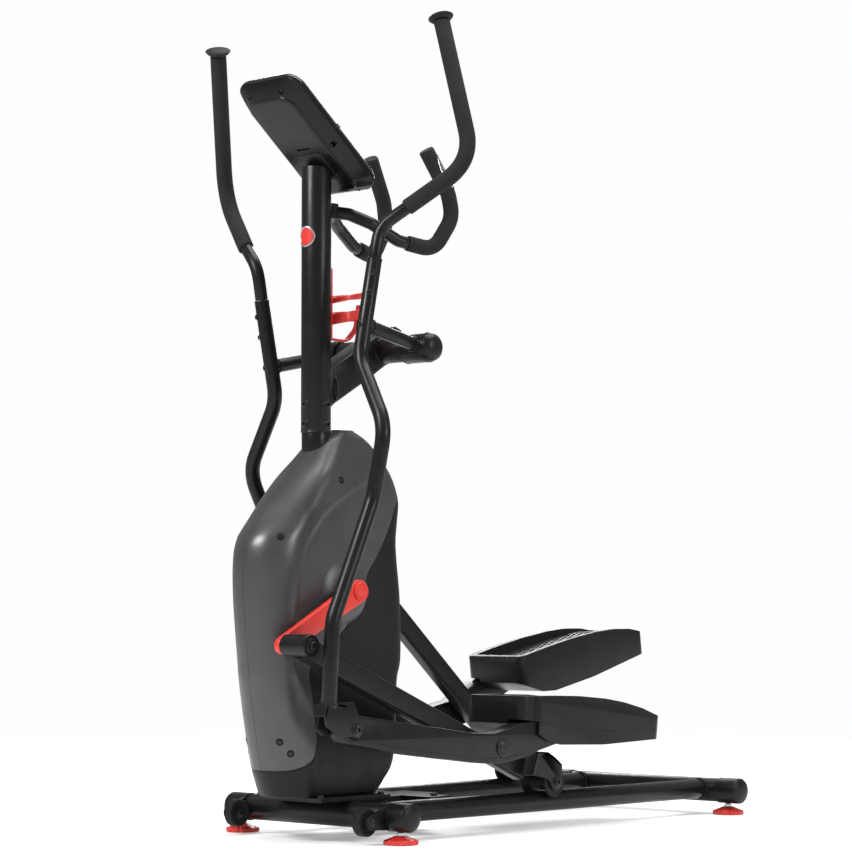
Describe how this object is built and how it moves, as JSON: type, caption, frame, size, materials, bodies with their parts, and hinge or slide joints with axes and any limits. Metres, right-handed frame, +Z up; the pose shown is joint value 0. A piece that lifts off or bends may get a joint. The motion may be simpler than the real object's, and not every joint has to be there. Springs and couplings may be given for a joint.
{
  "type": "elliptical trainer",
  "caption": "Front-drive elliptical trainer: shrouded flywheel, crank-driven roller arms on rails, swinging handlebars, dished pedals, console and bottle cage.",
  "frame": {"origin": "centre of the bounding box on the floor, between the four foot pads", "axes": "+Z up; +Y towards the pedals and the user; -Y towards the drive end; +X the user's left"},
  "size_m": [0.5542, 1.2952, 1.5993],
  "materials": {
    "black_frame": "satin black powder coat, fine texture",
    "shell_grey": "dark metallic grey, satin, fine grain",
    "cover_black": "charcoal black, satin",
    "red_plastic": "coral red, semi-gloss",
    "red_metal": "coral red paint, semi-gloss",
    "foam": "matte foam",
    "pedal_black": "textured matte",
    "rubber": "matte",
    "chrome": "polished",
    "steel": "brushed",
    "cast_iron": "as cast",
    "screen": "smooth, glossy"
  },
  "bodies": {
    "frame": {"front_stabilizer": "black_frame", "rear_stabilizer": "black_frame", "rail_left": "black_frame", "rail_right": "black_frame", "front_cap_left": "cover_black", "front_cap_right": "cover_black", "rear_cap_left": "cover_black", "rear_cap_right": "cover_black", "main_frame": "black_frame", "mast": "black_frame", "mast_badge": "red_plastic", "pivot_bracket": "black_frame", "bottle_cage": "red_plastic", "fixed_handlebar": "black_frame", "fixed_grip_left": "foam", "fixed_grip_right": "foam", "pulse_plate_left": "chrome", "pulse_plate_right": "chrome", "console_rear_shell": "cover_black", "console_bezel": "cover_black", "console_screen": "screen", "shroud_left": "shell_grey", "shroud_right": "shell_grey", "shroud_rear_cover": "cover_black", "hub_cover_left": "cover_black", "hub_cover_right": "cover_black", "power_inlet": "rubber", "drive_belt": "rubber"},
    "crankset": {"crank_axle": "steel", "drive_pulley": "cover_black", "crank_arm_left": "red_metal", "crank_arm_right": "red_metal"},
    "flywheel": {"flywheel": "cast_iron"},
    "magnet_arm": {"magnet_arm": "steel"},
    "roller_arm_left": {"roller_arm_left": "black_frame"},
    "roller_left": {"roller_left": "rubber"},
    "pedal_arm_left": {"pedal_arm_left": "black_frame", "pedal_left": "pedal_black"},
    "swing_arm_left": {"swing_arm_left": "black_frame", "upper_handle_left": "black_frame", "handle_grip_left": "foam", "grip_cap_left": "rubber"},
    "roller_arm_right": {"roller_arm_right": "black_frame"},
    "roller_right": {"roller_right": "rubber"},
    "pedal_arm_right": {"pedal_arm_right": "black_frame", "pedal_right": "pedal_black"},
    "swing_arm_right": {"swing_arm_right": "black_frame", "upper_handle_right": "black_frame", "handle_grip_right": "foam", "grip_cap_right": "rubber"},
    "transport_wheel_left": {"transport_wheel_left": "rubber"},
    "front_foot_left": {"front_foot_left": "red_plastic"},
    "rear_foot_left": {"rear_foot_left": "red_plastic"},
    "transport_wheel_right": {"transport_wheel_right": "rubber"},
    "front_foot_right": {"front_foot_right": "red_plastic"},
    "rear_foot_right": {"rear_foot_right": "red_plastic"},
    "console_button_1": {"console_button_1": "rubber"},
    "console_button_2": {"console_button_2": "red_plastic"},
    "console_button_3": {"console_button_3": "rubber"}
  },
  "joints": [
    {"name": "crank_turn", "type": "hinge", "parent": "frame", "child": "crankset", "pos_m": [0, -0.42864, 0.472], "axis": [1, 0, 0], "range_deg": [-15, 15]},
    {"name": "flywheel_spin", "type": "hinge", "parent": "frame", "child": "flywheel", "pos_m": [0, -0.39164, 0.232], "axis": [1, 0, 0], "continuous": true},
    {"name": "magnet_arm_swing", "type": "hinge", "parent": "frame", "child": "magnet_arm", "pos_m": [-0.038, -0.48564, 0.166], "axis": [1, 0, 0], "range_deg": [-8, 0]},
    {"name": "roller_arm_left_hinge", "type": "hinge", "parent": "crankset", "child": "roller_arm_left", "pos_m": [0.148, -0.62662, 0.37156], "axis": [1, 0, 0], "range_deg": [-10.7, 10.7]},
    {"name": "pedal_arm_left_hinge", "type": "hinge", "parent": "roller_arm_left", "child": "pedal_arm_left", "pos_m": [0.191, -0.1309, 0.16771], "axis": [1, 0, 0], "range_deg": [-4.2, 4.2]},
    {"name": "swing_arm_left_hinge", "type": "hinge", "parent": "frame", "child": "swing_arm_left", "pos_m": [0.12, -0.27364, 0.9465], "axis": [1, 0, 0], "range_deg": [-3.3, 3.3]},
    {"name": "roller_left_spin", "type": "hinge", "parent": "roller_arm_left", "child": "roller_left", "pos_m": [0.155, 0.05176, 0.0926], "axis": [1, 0, 0], "continuous": true},
    {"name": "roller_arm_right_hinge", "type": "hinge", "parent": "crankset", "child": "roller_arm_right", "pos_m": [-0.148, -0.23066, 0.57244], "axis": [1, 0, 0], "range_deg": [-20.4, 20.4]},
    {"name": "pedal_arm_right_hinge", "type": "hinge", "parent": "roller_arm_right", "child": "pedal_arm_right", "pos_m": [-0.191, 0.17474, 0.2218], "axis": [1, 0, 0], "range_deg": [-7.7, 7.7]},
    {"name": "swing_arm_right_hinge", "type": "hinge", "parent": "frame", "child": "swing_arm_right", "pos_m": [-0.12, -0.27364, 0.9465], "axis": [1, 0, 0], "range_deg": [-4.2, 4.2]},
    {"name": "roller_right_spin", "type": "hinge", "parent": "roller_arm_right", "child": "roller_right", "pos_m": [-0.155, 0.32411, 0.0926], "axis": [1, 0, 0], "continuous": true},
    {"name": "transport_wheel_left_spin", "type": "hinge", "parent": "frame", "child": "transport_wheel_left", "pos_m": [0.174, -0.47964, 0.042], "axis": [1, 0, 0], "continuous": true},
    {"name": "front_foot_left_turn", "type": "hinge", "parent": "frame", "child": "front_foot_left", "pos_m": [0.215, -0.42464, 0.02], "axis": [0, 0, 1], "continuous": true},
    {"name": "rear_foot_left_turn", "type": "hinge", "parent": "frame", "child": "rear_foot_left", "pos_m": [0.224, 0.58236, 0.02], "axis": [0, 0, 1], "continuous": true},
    {"name": "transport_wheel_right_spin", "type": "hinge", "parent": "frame", "child": "transport_wheel_right", "pos_m": [-0.174, -0.47964, 0.042], "axis": [1, 0, 0], "continuous": true},
    {"name": "front_foot_right_turn", "type": "hinge", "parent": "frame", "child": "front_foot_right", "pos_m": [-0.215, -0.42464, 0.02], "axis": [0, 0, 1], "continuous": true},
    {"name": "rear_foot_right_turn", "type": "hinge", "parent": "frame", "child": "rear_foot_right", "pos_m": [-0.224, 0.58236, 0.02], "axis": [0, 0, 1], "continuous": true},
    {"name": "console_button_1_press", "type": "slide", "parent": "frame", "child": "console_button_1", "axis": [0, -0.6225, -0.7826], "range_m": [0, 0.0015], "stiffness_N_per_m": 500, "springref_m": -0.002},
    {"name": "console_button_2_press", "type": "slide", "parent": "frame", "child": "console_button_2", "axis": [0, -0.6225, -0.7826], "range_m": [0, 0.0015], "stiffness_N_per_m": 500, "springref_m": -0.002},
    {"name": "console_button_3_press", "type": "slide", "parent": "frame", "child": "console_button_3", "axis": [0, -0.6225, -0.7826], "range_m": [0, 0.0015], "stiffness_N_per_m": 500, "springref_m": -0.002}
  ],
  "couplings": [
    {"joint": "flywheel_spin", "follows": "crank_turn", "ratio": 5.3333},
    {"joint": "roller_arm_left_hinge", "follows": "crank_turn", "ratio": -0.7082},
    {"joint": "pedal_arm_left_hinge", "follows": "crank_turn", "ratio": -0.2783},
    {"joint": "swing_arm_left_hinge", "follows": "crank_turn", "ratio": 0.2183},
    {"joint": "roller_left_spin", "follows": "crank_turn", "ratio": -9.81},
    {"joint": "roller_arm_right_hinge", "follows": "crank_turn", "ratio": -1.3569},
    {"joint": "pedal_arm_right_hinge", "follows": "crank_turn", "ratio": 0.5109},
    {"joint": "swing_arm_right_hinge", "follows": "crank_turn", "ratio": -0.2799},
    {"joint": "roller_right_spin", "follows": "crank_turn", "ratio": 14.58}
  ]
}
